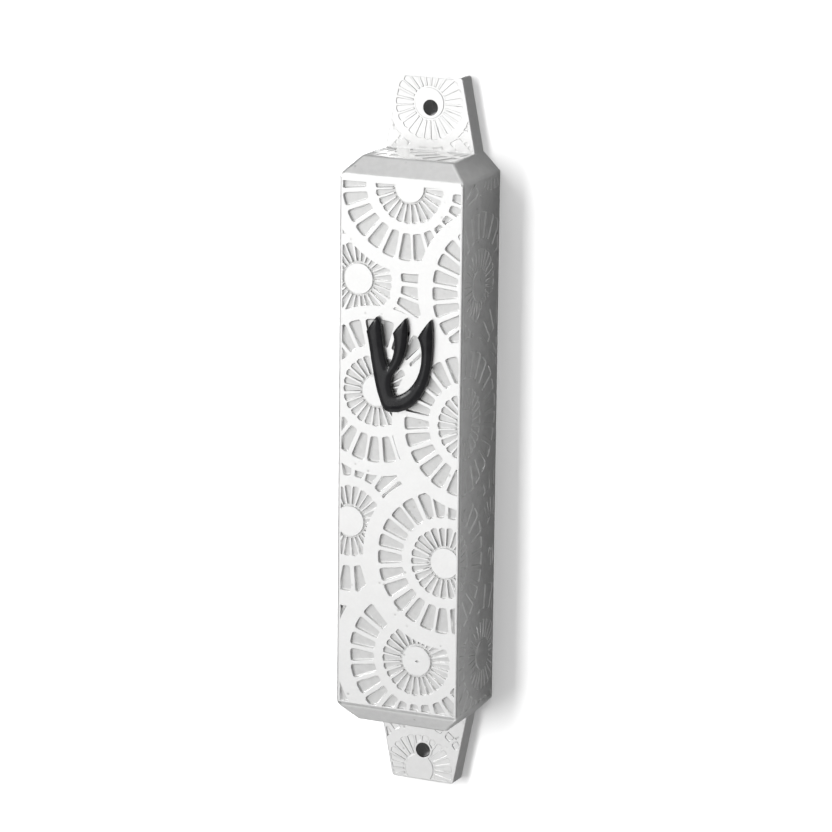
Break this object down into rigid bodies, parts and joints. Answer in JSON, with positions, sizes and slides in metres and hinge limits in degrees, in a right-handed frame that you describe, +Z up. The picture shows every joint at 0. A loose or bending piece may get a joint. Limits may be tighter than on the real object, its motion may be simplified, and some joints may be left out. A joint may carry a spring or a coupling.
{
  "type": "mezuzah case",
  "caption": "Long cast wall case with sloped ends, a screw ear at each end, a raised letter, and a hollow back with a lift-off cover that holds a rolled scroll.",
  "frame": {"origin": "on the wall plane, midway between the two screw holes", "axes": "+Z up along the case, -Y out of the wall towards the viewer, +X to the viewer's right"},
  "size_m": [0.022, 0.0158, 0.12],
  "materials": {
    "cast_metal": "satin as cast, with a fine grain",
    "black_enamel": "gloss black enamel",
    "cover_plastic": "moulded, light texture",
    "parchment": "matte skin parchment",
    "clear_film": "thin clear film"
  },
  "bodies": {
    "case": {"case_body": "cast_metal", "shin_letter": "black_enamel"},
    "cover": {"back_cover": "cover_plastic"},
    "scroll": {"parchment_scroll": "parchment", "scroll_sleeve": "clear_film"}
  },
  "joints": [
    {"name": "cover_lift", "type": "slide", "parent": "case", "child": "cover", "axis": [0, 1, 0], "range_m": [0, 0.04]},
    {"name": "scroll_lift", "type": "slide", "parent": "case", "child": "scroll", "axis": [0, 1, 0], "range_m": [0, 0.02]}
  ],
  "couplings": [
    {"joint": "scroll_lift", "follows": "cover_lift", "ratio": 0.5}
  ]
}
